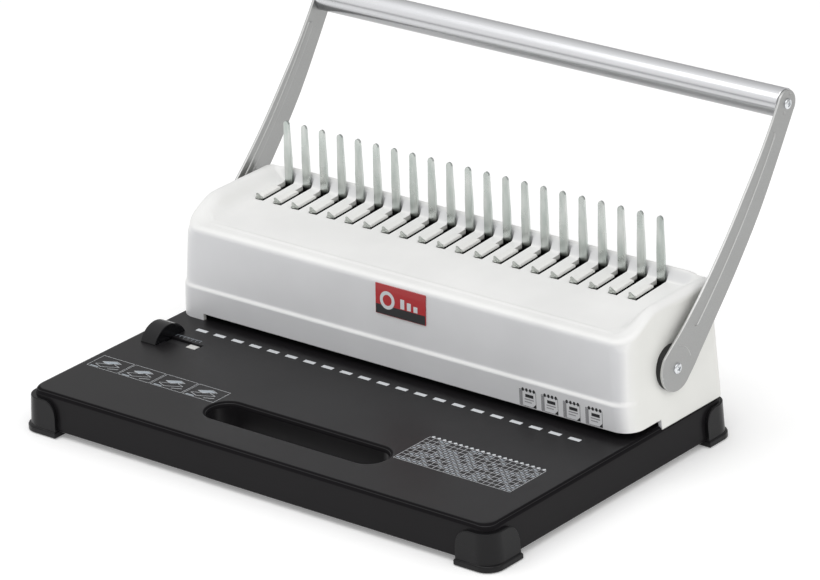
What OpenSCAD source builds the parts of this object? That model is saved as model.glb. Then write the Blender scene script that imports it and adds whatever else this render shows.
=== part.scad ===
// Manual comb binding machine: sheet punch and plastic comb opener on one base.
// Millimetres, +X to the right, +Y to the back, +Z up.
// Origin: centre of the footprint on the floor, handle resting at the back.

/* [Part shown] */
// Name of the sub-part to draw, or all

/* [Comb pattern] */
// Number of comb positions
comb_count = 21; // [5:1:24]
// Distance from one comb ring to the next
comb_pitch = 14.2875; // [10:0.0001:16]
// Length of a punched hole along X
hole_len = 8; // [6:0.1:9]
// Width of a punched hole along Y
hole_wid = 2.9; // [2:0.1:4]
// Punch line, distance behind the origin
punch_y = 1.5; // [-5:0.1:10]

/* [Base] */
// Width of the base
base_w = 349; // [300:1:400]
// Front face of the base
base_front_y = -143.4; // [-180:0.1:-100]
// Rear face of the base
base_rear_y = 71.4; // [50:0.1:100]
// Height of the table above the floor
base_top_z = 27; // [20:0.5:40]
// Lower edge of the skirt
skirt_z = 4; // [2:0.5:8]
// Wall thickness of the base
base_wall = 2.5; // [1.5:0.1:4]
// Rounding of the table's top edge
base_edge_r = 2.6; // [1:0.1:5]
// Draft of the skirt: how much wider it is at its lower edge
base_draft = 1.8; // [0:0.1:4]
// Rounding of the base's corners in plan
base_corner_r = 9; // [3:0.5:15]
// Length of the oblong grip hole
grip_len = 132; // [80:1:160]
// Width of the oblong grip hole
grip_wid = 22; // [16:0.5:35]
// Centre of the grip hole along X
grip_x = 2; // [-10:0.5:10]
// Centre of the grip hole along Y
grip_y = -105.8; // [-125:0.1:-80]

/* [Feet] */
// Length of one leg of a corner foot
foot_leg = 27.5; // [15:0.5:40]
// How far the foot wall stands out from the skirt
foot_wall = 2.6; // [0.8:0.1:3]
// How far the sole flange stands out from the skirt
foot_flange = 3.4; // [2:0.1:6]
// Height of the sole flange
foot_flange_h = 4.4; // [2:0.1:8]
// Height of the foot wall
foot_top_z = 22.6; // [15:0.1:26]
// Radius of the quarter round at the end of a foot wall
foot_round = 9.5; // [3:0.5:18]

/* [Cover] */
// Width of the cover at its lower band
cover_w = 348.4; // [300:0.1:400]
// Front face of the lower band
cover_front_y = -14.3; // [-30:0.1:0]
// Rear face of the cover
cover_rear_y = 74; // [60:0.1:90]
// Wall thickness of the cover
cover_wall = 2.4; // [1.5:0.1:4]
// Height of the paper throat above the table
throat_h = 4.3; // [2:0.1:8]
// Where the throat ends on the right side
throat_end_y = 13.7; // [5:0.1:30]
// Width of the left leg that closes the throat
leg_w = 21.6; // [10:0.1:40]
// Height of the step between lower band and upper body
step_z = 46.4; // [40:0.1:60]
// Front upper edge height
crease_z = 85.2; // [70:0.1:100]
// Rise of the top surface per millimetre to the back
top_slope = 0.0565; // [0:0.0005:0.2]
// Top of the raised rear lip
lip_z = 97.6; // [90:0.1:110]

/* [Comb opener] */
// Offset of the comb fingers from the punched holes
finger_dx = -7.5; // [-10:0.1:10]
// Front face of the comb fingers at their foot
finger_y = 67; // [60:0.1:80]
// Backward lean of the comb fingers in degrees
finger_lean = 1.6; // [0:0.1:5]
// Thickness of the finger strip
finger_t = 1.5; // [1:0.1:3]
// Height of the finger tips above the floor
finger_tip_z = 129; // [110:0.5:150]
// Width of a finger at its foot
finger_w = 5.6; // [3:0.1:8]
// Width of a finger at its tip
finger_tip_w = 4.3; // [2:0.1:6]
// Front end of the slots in the cover
slot_front_y = 38.8; // [30:0.1:50]
// Backward travel of the hooks
hook_travel = 8.5; // [5:0.1:12]

/* [Handle] */
// Pivot position along Y
pivot_y = 26.5; // [10:0.1:40]
// Pivot height
pivot_z = 59.2; // [40:0.1:80]
// Handle bar position along Y
bar_y = 138.4; // [100:0.1:160]
// Handle bar height
bar_z = 183.3; // [150:0.1:220]
// Handle bar radius
bar_r = 8.9; // [6:0.1:12]
// Bow of the arms away from a straight line
arm_bow = 6.6; // [0:0.1:15]
// Inner face of the arms
arm_in_x = 175.2; // [170:0.1:185]
// Thickness of the arms
arm_t = 1.7; // [1:0.1:5]
// Swing of the handle in degrees
handle_swing = 105; // [60:1:120]
// Punch stroke
punch_travel = 9; // [5:0.1:12]

/* [Edge guide and tray] */
// Face of the edge guide that the paper meets
guide_face_x = -152; // [-165:0.1:-140]
// Thickness of the edge guide
guide_t = 11.5; // [6:0.1:20]
// Radius of the guide's rounded top
guide_r = 14.5; // [8:0.1:25]
// Centre of the guide along Y
guide_y = -45.6; // [-60:0.1:-30]
// Width of the chip tray
tray_w = 280; // [200:1:300]

/* [Hidden] */
fine = 48;
eps = 0.05;
far = 400;
half_w = base_w / 2;
inner_z = base_top_z - base_wall;
throat_z = base_top_z + throat_h;
half_cover = cover_w / 2;
rear_flange = 3.2;
step_in = 1.6;
body_z = step_z + 3.4;
lean = 0.07;
slot_rear_y = finger_y + finger_t + 1.4;
slot_left = -3.05;
slot_right = 4.05;
pad_h = 0.3;
frame_x = 158.8;
frame_t = 2.4;
deck_z = 72;
deck_t = 2;
carriage_z = deck_z + deck_t + 0.05;
carriage_t = 1.5;
bar_low_z = 44;
bar_high_z = 49;
shaft_r = 5;
punch_k = punch_travel / (handle_swing * PI / 180);
hook_k = hook_travel / (handle_swing * PI / 180);
cam_gap = 0.1;
cam_min = pivot_z - bar_high_z - cam_gap;
yoke_min = 8;
yoke_max = yoke_min + hook_travel;
yoke_x = 135;
cam_x = 147;
arm_len = norm([bar_y - pivot_y, bar_z - pivot_z]);
arm_dir = [bar_y - pivot_y, bar_z - pivot_z] / arm_len;
arm_side = [arm_dir[1], -arm_dir[0]];
guide_slot = [-170, -127, -50.4, -43];
guide_slot_z = base_top_z - base_wall;
guide_tip_x = -129.9;
index_z = base_top_z - 1.6;
crease_y = cover_front_y + step_in + lean * (crease_z - body_z);
collar_r = 14;
tongue = [2, 18];
rack_screw_y = 62.5;
spring_x = 120;
spring_y = 23.5;
rib_off = -4;
rib_half = 2.7;
hook_y = 39.7;
tray_low_z = 5.75;
tray_high_z = 22.3;
rack_top_z = 85.2;

// Position of comb ring k along X
function comb_x(k) = (k - (comb_count - 1) / 2) * comb_pitch;

// Points of an arc that replaces corner b between a and c
function corner_arc(a, b, c, r, n) =
    let (
        u = (a - b) / norm(a - b),
        v = (c - b) / norm(c - b),
        half = acos(max(-1, min(1, u * v))) / 2,
        back = r / tan(half),
        m = (u + v) / norm(u + v),
        centre = b + m * (r / sin(half)),
        p = b + u * back - centre,
        q = b + v * back - centre,
        a0 = atan2(p[1], p[0]),
        turn0 = atan2(q[1], q[0]) - a0,
        turn = turn0 > 180 ? turn0 - 360 : (turn0 < -180 ? turn0 + 360 : turn0)
    )
    [for (k = [0 : n]) centre + r * [cos(a0 + turn * k / n), sin(a0 + turn * k / n)]];

// Closed outline with every corner [x, y, radius] rounded
function rounded(pts, n = 6) =
    let (m = len(pts))
    [for (k = [0 : m - 1])
        let (
            a = pts[(k + m - 1) % m],
            b = pts[k],
            c = pts[(k + 1) % m],
            ring = b[2] > 0
                ? corner_arc([a[0], a[1]], [b[0], b[1]], [c[0], c[1]], b[2], n)
                : [[b[0], b[1]]]
        )
        each ring];

// Solid with an outline in the YZ plane, from x0 to x1
module along_x(x0, x1, pts) {
    translate([x0, 0, 0])
        rotate([90, 0, 90])
            linear_extrude(height = x1 - x0)
                polygon(pts);
}

// Solid with an outline in the XZ plane, from y0 to y1
module along_y(y0, y1, pts) {
    translate([0, y1, 0])
        rotate([90, 0, 0])
            linear_extrude(height = y1 - y0)
                polygon(pts);
}

// Solid with an outline in the XY plane, from z0 to z1
module along_z(z0, z1, pts) {
    translate([0, 0, z0])
        linear_extrude(height = z1 - z0)
            polygon(pts);
}

// Box between two corners
module box(a, b) {
    translate(a)
        cube(b - a);
}

// Round bar along X
module rod_x(x0, x1, y, z, r) {
    translate([x0, y, z])
        rotate([0, 90, 0])
            cylinder(r = r, h = x1 - x0, $fn = fine);
}

// Upright round bar
module rod_z(x, y, z0, z1, r) {
    translate([x, y, z0])
        cylinder(r = r, h = z1 - z0, $fn = fine);
}

// Upright oblong with round ends along X
module oblong(x, y, len, wid, z0, z1) {
    box([x - (len - wid) / 2, y - wid / 2, z0], [x + (len - wid) / 2, y + wid / 2, z1]);
    rod_z(x - (len - wid) / 2, y, z0, z1, wid / 2);
    rod_z(x + (len - wid) / 2, y, z0, z1, wid / 2);
}

// Skirt outline grown by g, with drafted sides, rounded corners and rounded top edges
module base_block(g, z0, z1, corner_r, edge_r) {
    w0 = half_w + g + draft_at(z0);
    w1 = half_w + g + draft_at(z1);
    f0 = base_front_y - g - draft_at(z0);
    f1 = base_front_y - g - draft_at(z1);
    y1 = base_rear_y + min(g, rear_flange);
    intersection() {
        along_z(z0, z1, rounded([[-w0, f0, corner_r], [w0, f0, corner_r],
            [w0, y1, corner_r], [-w0, y1, corner_r]], 8));
        along_y(f0 - 5, y1 + 5, rounded([[-w0, z0, 0], [w0, z0, 0], [w1, z1, edge_r], [-w1, z1, edge_r]]));
        along_x(-w0 - 5, w0 + 5, rounded([[f0, z0, 0], [y1, z0, 0], [y1, z1, edge_r], [f1, z1, edge_r]]));
    }
}

// How far the skirt stands out at height z because of its draft
function draft_at(z) = base_draft * (base_top_z - z) / (base_top_z - skirt_z);

// Base: table and skirt
module base_tray() {
    color([0.13, 0.13, 0.14])
        difference() {
            union() {
                difference() {
                    base_block(0, skirt_z, base_top_z, base_corner_r, base_edge_r);
                    box([-half_w + base_wall, base_front_y + base_wall, 0],
                        [half_w - base_wall, base_rear_y - base_wall, inner_z]);
                }
                oblong(grip_x, grip_y, grip_len + 4, grip_wid + 4, skirt_z + 0.1, base_top_z - 0.5);
                for (p = bottom_screw_spots())
                    rod_z(p[0], p[1], skirt_z + 1.7, inner_z + 0.5, 4);
            }
            for (p = bottom_screw_spots())
                rod_z(p[0], p[1], 0, skirt_z + 10, 1.6);
            oblong(grip_x, grip_y, grip_len, grip_wid, 0, base_top_z + 1);
            box([-154.1, punch_y - 9.1, inner_z - 1], [154.1, punch_y + 12.1, base_top_z + 1]);
            box([guide_slot[0], guide_slot[2], inner_z - 1],
                [guide_slot[1], guide_slot[3], base_top_z + 1]);
            box([-tray_w / 2 - 0.5, base_rear_y - base_wall - 1, tray_low_z - 0.1],
                [tray_w / 2 + 0.5, base_rear_y + 1, tray_high_z + 0.3]);
            for (s = [-1, 1])
                box([s * half_w - 3.6, throat_end_y - 0.6, base_top_z - 2.1],
                    [s * half_w + 3.6, base_rear_y + 1, base_top_z + 1]);
            for (p = frame_screw_spots())
                rod_z(p[0], p[1], inner_z - 1, base_top_z + 1, 1.65);
        }
}

function frame_screw_spots() = [[-166, 24], [-166, 52], [166, 24], [166, 52]];

function pad_spots() = [[-166, base_front_y + 9], [166, base_front_y + 9],
    [-166, base_rear_y - 9], [166, base_rear_y - 9]];

function bottom_screw_spots() = [[-120, -132], [0, -132], [120, -132], [-160, -30], [160, -30],
    [-160, 40], [160, 40]];

// Closing plate under the base
module bottom_plate() {
    color([0.1, 0.1, 0.1])
        difference() {
            box([-half_w + base_wall + 0.3, base_front_y + base_wall + 0.3, skirt_z],
                [half_w - base_wall - 0.3, base_rear_y - base_wall - 0.3, skirt_z + 1.6]);
            oblong(grip_x, grip_y, grip_len + 4.6, grip_wid + 4.6, 0, 10);
            for (p = bottom_screw_spots())
                rod_z(p[0], p[1], 0, 10, 1.6);
        }
}

// Screws that hold the closing plate
module bottom_screws() {
    color([0.6, 0.6, 0.62])
        for (p = bottom_screw_spots()) {
            rod_z(p[0], p[1], skirt_z - 1.4, skirt_z, 2.8);
            rod_z(p[0], p[1], skirt_z, skirt_z + 8, 1.5);
        }
}

// Outline of a foot leg: full height at the corner, quarter round inwards
function foot_profile(edge, dir, leg) =
    let (
        r = foot_round,
        inner = edge - dir * leg,
        cx = inner + dir * r
    )
    concat(
        [[edge + dir * 10, -1], [edge + dir * 10, foot_top_z]],
        [for (k = [0 : 10]) [cx - dir * r * sin(9 * k), foot_top_z - r + r * cos(9 * k)]],
        [[inner, -1]]);

// One corner foot; sx and sy choose the corner
module foot(sx, sy) {
    ex = sx * (half_w + base_draft);
    ey = sy < 0 ? base_front_y - base_draft : base_rear_y;
    flange = sy < 0 ? foot_flange : rear_flange;
    leg_y = sy < 0 ? foot_leg : foot_leg - 3.5;
    color([0.09, 0.09, 0.1])
        difference() {
            union() {
                intersection() {
                    base_block(foot_wall, pad_h, foot_top_z, base_corner_r + foot_wall, 0.8);
                    along_y(-far, far, foot_profile(ex, sx, foot_leg - foot_flange));
                    along_x(-far, far, foot_profile(ey, sy, leg_y - flange));
                }
                intersection() {
                    base_block(foot_flange, pad_h, foot_flange_h, 11, 0);
                    foot_corner(ex + sx * foot_flange, ey + sy * flange, sx, sy, foot_leg, leg_y);
                }
            }
            base_block(eps, skirt_z - eps, base_top_z + 1, base_corner_r, 0);
            for (p = pad_spots())
                rod_z(p[0], p[1], -1, 1.8, 5.05);
        }
}

// Square region that keeps one corner of the flange ring
module foot_corner(cx, cy, sx, sy, lx, ly) {
    box([min(cx + sx, cx - sx * lx), min(cy + sy, cy - sy * ly), -1],
        [max(cx + sx, cx - sx * lx), max(cy + sy, cy - sy * ly), 60]);
}

module foot_front_left() {
    foot(-1, -1);
}

module foot_front_right() {
    foot(1, -1);
}

module foot_rear_left() {
    foot(-1, 1);
}

module foot_rear_right() {
    foot(1, 1);
}

// Soft pads let into the feet
module foot_pads() {
    color([0.2, 0.2, 0.2])
        for (p = pad_spots())
            rod_z(p[0], p[1], 0, 1.8, 5);
}

// Height of the cover's top surface at y
function top_at(y) = crease_z + (y - crease_y) * top_slope;

// Front face of the cover's upper body at height z
function front_at(z) = cover_front_y + step_in + lean * (z - body_z);

// Side face of the cover's upper body at height z
function side_at(z) = half_cover - step_in - lean * (z - body_z);

// Cover outline in plan and in both elevations, moved inwards by g
module cover_form(g, low_z) {
    shear = [[1, 0, 0, 0], [0, 1, 0, 0], [0, top_slope, 1, -top_slope * crease_y], [0, 0, 0, 1]];
    intersection() {
        along_z(low_z, lip_z + 10, rounded([[-half_cover + g, cover_front_y + g, 10 - g],
            [half_cover - g, cover_front_y + g, 10 - g],
            [half_cover - g, cover_rear_y - g, 7 - g],
            [-half_cover + g, cover_rear_y - g, 7 - g]], 8));
        along_x(-far, far, rounded([[cover_front_y + g, low_z, 0], [cover_front_y + g, step_z, 0],
            [cover_front_y + step_in + g, body_z, 0], [front_at(crease_z) + g, crease_z - g, 5 - g],
            [cover_rear_y - g, top_at(cover_rear_y) - g, 1], [cover_rear_y - g, low_z, 0]]));
        multmatrix(shear)
            along_y(-40, 100, rounded([[-half_cover + g, low_z - 8, 0], [half_cover - g, low_z - 8, 0],
                [half_cover - g, step_z, 0], [half_cover - step_in - g, body_z, 0],
                [side_at(crease_z) - g, crease_z - g, 6 - g], [g - side_at(crease_z), crease_z - g, 6 - g],
                [g + step_in - half_cover, body_z, 0], [g - half_cover, step_z, 0]]));
    }
}

// Raised lip behind the fingers
module cover_lip() {
    base = top_at(slot_rear_y);
    intersection() {
        along_x(-far, far, rounded([[cover_rear_y - 4.6, base - 3, 0], [cover_rear_y - 3.7, base, 0],
            [cover_rear_y - 3, lip_z, 1], [cover_rear_y, lip_z, 1.6], [cover_rear_y, base - 3, 0]]));
        along_y(0, 100, rounded([[-side_at(lip_z), base - 4, 0], [side_at(lip_z), base - 4, 0],
            [side_at(lip_z), lip_z, 9], [-side_at(lip_z), lip_z, 9]], 8));
        along_z(60, 110, rounded([[-side_at(base), 0, 0], [side_at(base), 0, 0],
            [side_at(base), cover_rear_y, 7], [-side_at(base), cover_rear_y, 7]], 8));
    }
}

// White cover over the mechanism
module cover() {
    low = base_top_z - 2;
    color([0.93, 0.93, 0.92])
        difference() {
            union() {
                cover_form(0, low);
                cover_lip();
            }
            difference() {
                cover_form(cover_wall, low - 1);
                box([-far, slot_rear_y - 1.5, top_at(slot_rear_y) - 2 * cover_wall + 0.6],
                    [far, far, far]);
            }
            box([-half_cover + leg_w, -60, 0], [far, throat_end_y, throat_z]);
            box([-far, -60, 0], [far, throat_end_y, base_top_z]);
            for (k = [0 : comb_count - 1])
                box([comb_x(k) + finger_dx + slot_left, slot_front_y, carriage_z],
                    [comb_x(k) + finger_dx + slot_right, slot_rear_y, lip_z + 5]);
            rod_x(-far, far, pivot_y, pivot_z, collar_r + 0.3);
        }
}

// Generic label plate on the front
module badge() {
    z0 = 63.7;
    z1 = 82.2;
    color([0.6, 0.05, 0.05])
        along_x(-15, 23, [[front_at(z0) - 0.02, z0], [front_at(z0) - 0.62, z0],
            [front_at(z1) - 0.62, z1], [front_at(z1) - 0.02, z1]]);
}

// Black bearing collar between frame and arm; side is -1 or 1
module collar(side) {
    color([0.08, 0.08, 0.08])
        scale([side, 1, 1])
            difference() {
                union() {
                    rod_x(frame_x + frame_t, 169.5, pivot_y, pivot_z, 9);
                    rod_x(169, arm_in_x - 0.15, pivot_y, pivot_z, collar_r);
                }
                rod_x(150, 180, pivot_y, pivot_z, shaft_r + 0.05);
            }
}

module collar_left() {
    collar(-1);
}

module collar_right() {
    collar(1);
}

// Steel side frame with its foot flange; side is -1 or 1
module frame(side) {
    outline = [[throat_end_y + 0.8, base_top_z], [66, base_top_z], [69, 60], [69, 78], [60, 80.5],
        [-3, 78], [-7.5, 70], [-7.5, throat_z], [throat_end_y + 0.8, throat_z]];
    color([0.62, 0.64, 0.66])
        scale([side, 1, 1])
            difference() {
                union() {
                    along_x(frame_x, frame_x + frame_t, outline);
                    box([frame_x + 1, 16, base_top_z], [170.4, 60, base_top_z + frame_t]);
                }
                rod_x(150, 180, pivot_y, pivot_z, shaft_r + 0.05);
                box([150, tongue[0] - 0.15, bar_low_z - punch_travel - 0.2],
                    [180, tongue[1] + 0.15, bar_high_z + 0.2]);
                for (p = frame_screw_spots())
                    if (p[0] > 0)
                        rod_z(p[0], p[1], 0, 60, 2.1);
            }
}

module frame_left() {
    frame(-1);
}

module frame_right() {
    frame(1);
}

// Screws that hold the side frames to the base
module frame_screws() {
    top = base_top_z + frame_t;
    color([0.6, 0.6, 0.62])
        for (p = frame_screw_spots()) {
            rod_z(p[0], p[1], top, top + 2.2, 3.6);
            rod_z(p[0], p[1], inner_z - 3, top, 1.6);
        }
}

// Cross plate that carries the opener
module deck() {
    y0 = 24;
    color([0.62, 0.64, 0.66])
        difference() {
            union() {
                box([-frame_x, y0, deck_z], [frame_x, finger_y + finger_t, deck_z + deck_t]);
                for (s = [-1, 1])
                    box([min(s * frame_x, s * (frame_x - 2)), 40, deck_z - 10],
                        [max(s * frame_x, s * (frame_x - 2)), 64, deck_z + 0.5]);
            }
            for (s = [-1, 1])
                box([s * yoke_x - 5.6, 33, deck_z - 1], [s * yoke_x + 5.6, 49, deck_z + 5]);
            for (k = rack_screw_spots())
                rod_z(comb_x(k), rack_screw_y, 0, 90, 1.65);
        }
}

function rack_screw_spots() = [1, 7, 13, 19];

// Hardened plate with the punched-out hole pattern
module lower_die() {
    color([0.45, 0.46, 0.48])
        difference() {
            box([-154, punch_y - 9, inner_z], [154, punch_y + 12, base_top_z]);
            pin_holes(inner_z - 1, base_top_z + 1);
        }
}

// Pattern of holes for the punch pins
module pin_holes(z0, z1) {
    for (k = [0 : comb_count - 1])
        box([comb_x(k) - hole_len / 2 - 0.1, punch_y - hole_wid / 2 - 0.1, z0],
            [comb_x(k) + hole_len / 2 + 0.1, punch_y + hole_wid / 2 + 0.1, z1]);
}

// Bar at the back of the throat that the sheets stop at
module paper_stop() {
    color([0.62, 0.64, 0.66])
        box([-154, punch_y + 4.5, base_top_z], [154, punch_y + 11, throat_z]);
}

// Plate that guides the punch pins above the throat
module upper_guide() {
    color([0.62, 0.64, 0.66])
        difference() {
            box([-frame_x, punch_y - 8, throat_z], [frame_x, punch_y + 11, throat_z + 3]);
            pin_holes(throat_z - 1, throat_z + 4);
        }
}

// Steel comb of fixed fingers with its mounting flange
module finger_rack() {
    x0 = comb_x(0) + finger_dx - 5;
    x1 = comb_x(comb_count - 1) + finger_dx + 5;
    z0 = deck_z + deck_t;
    root = 82;
    tall = (finger_tip_z - root) / cos(finger_lean);
    color([0.72, 0.75, 0.73])
        difference() {
            union() {
                box([x0, 57.2, z0], [x1, finger_y + finger_t, z0 + 1.4]);
                box([x0, finger_y, z0], [x1, finger_y + finger_t, rack_top_z]);
                for (k = [0 : comb_count - 1])
                    translate([comb_x(k) + finger_dx, finger_y, root])
                        rotate([-finger_lean, 0, 0])
                            along_y(0, finger_t, concat(
                                [[-finger_w / 2, 0], [finger_w / 2, 0], [finger_w / 2, tall - 23],
                                    [finger_tip_w / 2, tall - 8]],
                                [for (a = [0 : 15 : 180])
                                    [finger_tip_w / 2 * 0.95 * cos(a), tall - 2.6 + 2.6 * sin(a)]],
                                [[-finger_tip_w / 2, tall - 8], [-finger_w / 2, tall - 23]]));
            }
            for (k = rack_screw_spots())
                rod_z(comb_x(k), rack_screw_y, 0, 76, 1.65);
        }
}

// Screws that hold the finger comb from below
module rack_screws() {
    color([0.6, 0.6, 0.62])
        for (k = rack_screw_spots()) {
            rod_z(comb_x(k), rack_screw_y, deck_z - 1.8, deck_z, 2.8);
            rod_z(comb_x(k), rack_screw_y, deck_z, deck_z + deck_t + 1.3, 1.6);
        }
}

// Return spring of the punch bar; side is -1 or 1
module punch_spring(side) {
    color([0.7, 0.7, 0.72])
        translate([side * spring_x, spring_y, base_top_z])
            linear_extrude(height = bar_low_z - base_top_z, twist = -360 * 6, slices = 96)
                translate([4, 0])
                    circle(r = 0.7, $fn = 8);
}

module spring_left() {
    punch_spring(-1);
}

module spring_right() {
    punch_spring(1);
}

// Pivot shaft, tapped at both ends
module shaft() {
    color([0.6, 0.61, 0.63])
        difference() {
            rod_x(-arm_in_x, arm_in_x, pivot_y, pivot_z, shaft_r);
            for (s = [-1, 1])
                rod_x(min(s * 160, s * 180), max(s * 160, s * 180), pivot_y, pivot_z, 2.55);
        }
}

// Point of a cam outline whose flat follower stands h away in direction a
function cam_point(a, h, dh) =
    [h * cos(a) - dh * sin(a), h * sin(a) + dh * cos(a)];

// Cam that presses the punch bar down evenly with the swing
module punch_cam() {
    lobe = [for (a = [-90 - handle_swing : 5 : -90])
        cam_point(a, cam_min + punch_k * (-90 - a) * PI / 180, -punch_k)];
    hub = [for (a = [-90 : 10 : 60]) cam_point(a, cam_min, 0)];
    along_x(-2, 2, concat(lobe, hub));
}

module punch_cams() {
    color([0.5, 0.51, 0.53])
        for (s = [-1, 1])
            translate([s * cam_x, pivot_y, pivot_z])
                difference() {
                    punch_cam();
                    rod_x(-5, 5, 0, 0, shaft_r + 0.05);
                }
}

// Constant-breadth cam that moves the opener evenly with the swing
module yoke_cam() {
    turn = handle_swing;
    rest = (180 - turn) * PI / 180;
    rear = [for (a = [-turn : 5 : 0]) cam_point(a, yoke_min - hook_k * a * PI / 180, -hook_k)];
    low = [for (a = [0 : 5 : 180 - turn]) cam_point(a, yoke_min, 0)];
    front = [for (a = [180 - turn : 5 : 180])
        cam_point(a, yoke_max - hook_k * (180 - a) * PI / 180, hook_k)];
    high = [for (a = [185 : 5 : 355 - turn])
        let (t = (a - 180) * PI / 180)
        cam_point(a, yoke_max + hook_k * t * (1 - t / rest), hook_k * (1 - 2 * t / rest))];
    along_x(-2, 2, concat(rear, low, front, high));
}

module yoke_cams() {
    color([0.5, 0.51, 0.53])
        for (s = [-1, 1])
            translate([s * yoke_x, pivot_y, pivot_z])
                difference() {
                    yoke_cam();
                    rod_x(-5, 5, 0, 0, shaft_r + 0.05);
                }
}

// Point on the arm's bowed centre line, moved sideways by off
function arm_point(t, off) =
    [pivot_y, pivot_z] + arm_dir * arm_len * t
        + arm_side * (4 * arm_bow * t * (1 - t) + off);

// Half of the arm's width along its length
function arm_half(t) = lookup(t, [[0, 13.9], [0.03, 13.7], [0.06, 13.3], [0.1, 12.6], [0.16, 11.9],
    [0.25, 11.2], [0.46, 10.5], [0.64, 10], [0.82, 8.6], [0.92, 8.2], [1, 8.2]]);

// Sheet steel arm with a pressed rib; side is -1 or 1
module arm(side) {
    steps = [0, 0.03, 0.06, 0.1, 0.13, 0.16, 0.2, 0.25, 0.3, 0.36, 0.42, 0.48, 0.54, 0.6, 0.66, 0.72, 0.78,
        0.84, 0.9, 0.95, 1];
    rib_steps = [for (t = [0.18 : 0.05 : 0.88]) t];
    strip = concat([for (t = steps) arm_point(t, arm_half(t))],
        [for (k = [len(steps) - 1 : -1 : 0]) arm_point(steps[k], -arm_half(steps[k]))]);
    rib = concat([for (t = rib_steps) arm_point(t, rib_off + rib_half)],
        [for (k = [len(rib_steps) - 1 : -1 : 0]) arm_point(rib_steps[k], rib_off - rib_half)]);
    x0 = arm_in_x;
    x1 = arm_in_x + arm_t;
    rib_top = arm_point(rib_steps[len(rib_steps) - 1], rib_off);
    color([0.68, 0.68, 0.68])
        scale([side, 1, 1])
            difference() {
                union() {
                    along_x(x0, x1, strip);
                    rod_x(x0, x1, pivot_y, pivot_z, collar_r);
                    rod_x(x0, x1, bar_y, bar_z, 8.25);
                    along_x(x0 - 0.7, x0 + 0.5, rib);
                }
                along_x(x1 - 0.7, x1 + 1, rib);
                rod_x(x1 - 0.7, x1 + 1, rib_top[0], rib_top[1], rib_half);
                rod_x(x0 - 2, x1 + 2, pivot_y, pivot_z, 2.7);
                rod_x(x0 - 2, x1 + 2, bar_y, bar_z, 2.2);
            }
}

module arm_left() {
    arm(-1);
}

module arm_right() {
    arm(1);
}

// Round grip tube between the arms
module handle_bar() {
    color([0.8, 0.81, 0.83])
        difference() {
            rod_x(-arm_in_x, arm_in_x, bar_y, bar_z, bar_r);
            rod_x(-far, far, bar_y, bar_z, bar_r - 1.5);
        }
}

// Plugs inside the tube's ends
module bar_plugs() {
    color([0.3, 0.3, 0.3])
        for (s = [-1, 1])
            difference() {
                rod_x(min(s * 150, s * arm_in_x), max(s * 150, s * arm_in_x), bar_y, bar_z, bar_r - 1.8);
                rod_x(-far, far, bar_y, bar_z, 2.05);
            }
}

// Screws at both ends of the shaft and of the bar
module handle_screws() {
    x = arm_in_x + arm_t;
    color([0.75, 0.76, 0.78])
        for (s = [-1, 1])
            scale([s, 1, 1]) {
                rod_x(x, x + 1.6, pivot_y, pivot_z, 3.4);
                rod_x(162, x, pivot_y, pivot_z, 2.5);
                rod_x(x, x + 1.6, bar_y, bar_z, 3.4);
                rod_x(155, x, bar_y, bar_z, 2);
            }
}

// Pressure bar that drives all the pins
module punch_bar() {
    color([0.55, 0.56, 0.58])
        difference() {
            union() {
                box([-154, -4.5, bar_low_z], [154, 31, bar_high_z]);
                box([-163.5, tongue[0], bar_low_z], [163.5, tongue[1], bar_high_z]);
            }
            pin_holes(bar_low_z - 1, bar_high_z + 1);
            for (s = [-1, 1])
                box([s * yoke_x - 4, 7, bar_low_z - 1], [s * yoke_x + 4, 40, bar_high_z + 1]);
        }
}

// Punch pins hung in the pressure bar by their heads
module punch_pins() {
    color([0.7, 0.7, 0.72])
        for (k = [0 : comb_count - 1])
            translate([comb_x(k), punch_y, 0]) {
                box([-hole_len / 2, -hole_wid / 2, throat_z + 0.6],
                    [hole_len / 2, hole_wid / 2, bar_high_z]);
                box([-hole_len / 2 - 0.7, -hole_wid / 2 - 0.7, bar_high_z],
                    [hole_len / 2 + 0.7, hole_wid / 2 + 0.7, bar_high_z + 1.4]);
            }
}

// Sliding plate with the two yokes
module carriage() {
    low = 50.6;
    front = pivot_y - yoke_max - cam_gap;
    rear = pivot_y + yoke_min + cam_gap;
    top = carriage_z + carriage_t;
    color([0.6, 0.62, 0.64])
        union() {
            box([-151, 28, carriage_z], [151, 48, top]);
            for (s = [-1, 1]) {
                box([s * yoke_x - 5, front - 4, carriage_z], [s * yoke_x + 5, 28.5, top]);
                box([s * yoke_x - 5, front - 4, low], [s * yoke_x + 5, front, top]);
                box([s * yoke_x - 5, rear, low], [s * yoke_x + 5, rear + 4, top]);
            }
        }
}

// Steel hooks that pull the comb rings open
module hooks() {
    z0 = carriage_z + carriage_t;
    x0 = comb_x(0) + finger_dx - 4;
    x1 = comb_x(comb_count - 1) + finger_dx + 4;
    surf = top_at(hook_y);
    color([0.7, 0.72, 0.7])
        union() {
            box([x0, hook_y - 1.5, z0], [x1, hook_y + 18.6, z0 + 1.2]);
            for (k = [0 : comb_count - 1])
                translate([comb_x(k) + finger_dx, 0, 0]) {
                    along_y(hook_y, hook_y + 1.2, [[-1.4, z0], [3.2, z0], [3.2, surf + 2.2],
                        [0.9, surf + 3.4], [-1.4, surf + 4.5]]);
                    box([-2.5, hook_y + 17.6, z0], [-0.9, hook_y + 18.6, surf + 1.2]);
                }
        }
}

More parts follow.
